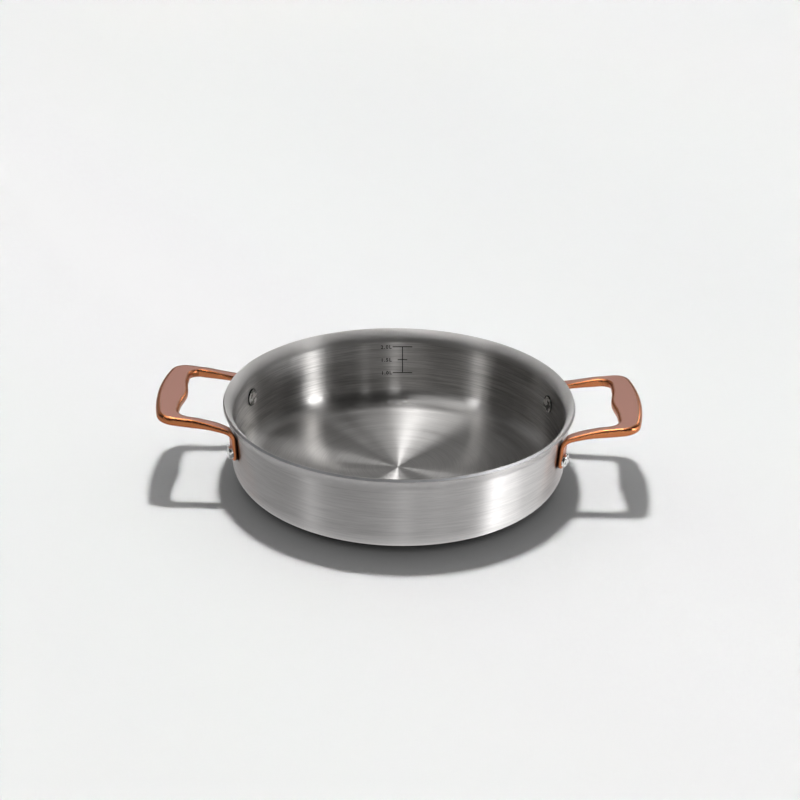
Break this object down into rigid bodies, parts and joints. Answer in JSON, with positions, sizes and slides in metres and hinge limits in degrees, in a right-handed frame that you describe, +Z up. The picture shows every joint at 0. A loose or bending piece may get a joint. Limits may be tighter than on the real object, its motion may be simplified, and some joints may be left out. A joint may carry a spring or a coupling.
{
  "type": "braiser",
  "caption": "Low round clad-steel braiser with a flared rim, rounded base corner and two riveted cast loop handles, without its lid.",
  "frame": {"origin": "centre of the flat underside of the base, on the surface the pan stands on", "axes": "+Z up through the open mouth, +X towards the right handle, +Y towards the back"},
  "size_m": [0.3472, 0.253, 0.0619],
  "materials": {
    "inside_steel": "circular brushed stainless steel",
    "core_aluminium": "bare cut edge",
    "outside_steel": "fine brushed stainless steel",
    "handle_metal": "cast, copper-coloured coating, satin on top and polished at the sides",
    "rivet_steel": "polished stainless steel"
  },
  "bodies": {
    "root": {"inner_ply": "inside_steel", "core_ply": "core_aluminium", "outer_ply": "outside_steel", "handle_left": "handle_metal", "handle_right": "handle_metal", "rivet_left_front": "rivet_steel", "rivet_left_back": "rivet_steel", "rivet_right_front": "rivet_steel", "rivet_right_back": "rivet_steel"}
  },
  "joints": []
}
